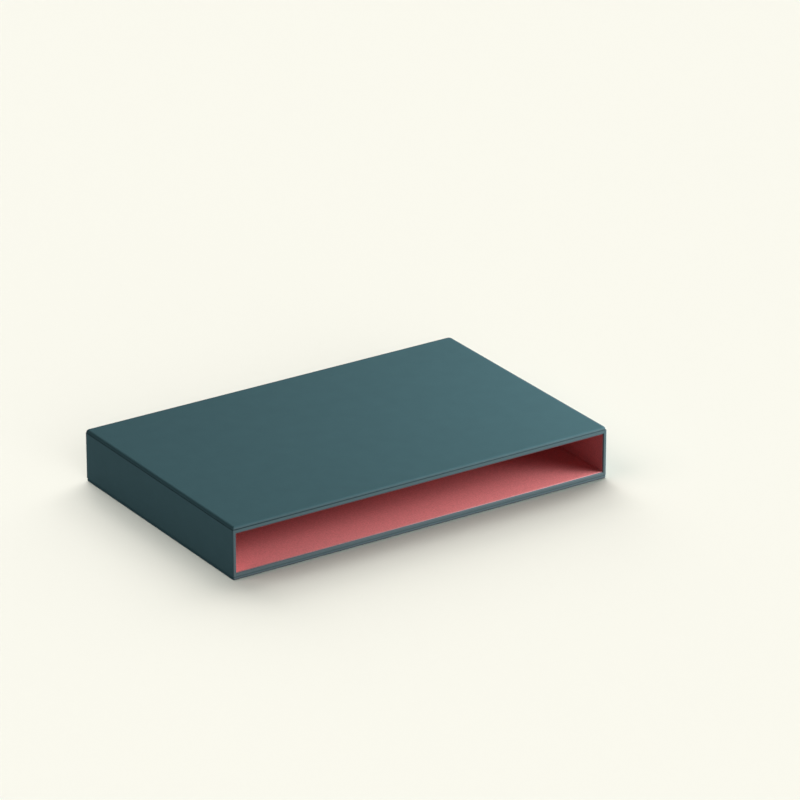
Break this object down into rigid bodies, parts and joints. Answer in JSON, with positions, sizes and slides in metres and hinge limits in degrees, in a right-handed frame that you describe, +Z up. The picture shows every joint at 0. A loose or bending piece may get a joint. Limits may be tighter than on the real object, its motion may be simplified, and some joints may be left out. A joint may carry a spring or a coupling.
{
  "type": "book slipcase",
  "caption": "Rigid slipcase for one hardback book: wrapped boards with a coral-lined pocket, open along one long side.",
  "frame": {"origin": "on the ground under the middle of the case as it lies flat", "axes": "+X along the open side, +Y from the open side to the back, +Z up"},
  "size_m": [0.228, 0.146, 0.029],
  "materials": {
    "cover_paper": "matte",
    "sleeve_paper": "matte",
    "lining_sheet": "matte"
  },
  "bodies": {
    "root": {"lower_cover_board": "cover_paper", "upper_cover_board": "cover_paper", "floor_board": "sleeve_paper", "ceiling_board": "sleeve_paper", "left_end_board": "sleeve_paper", "right_end_board": "sleeve_paper", "back_board": "sleeve_paper", "floor_lining": "lining_sheet", "ceiling_lining": "lining_sheet", "back_lining": "lining_sheet", "left_end_lining": "lining_sheet", "right_end_lining": "lining_sheet"}
  },
  "joints": []
}
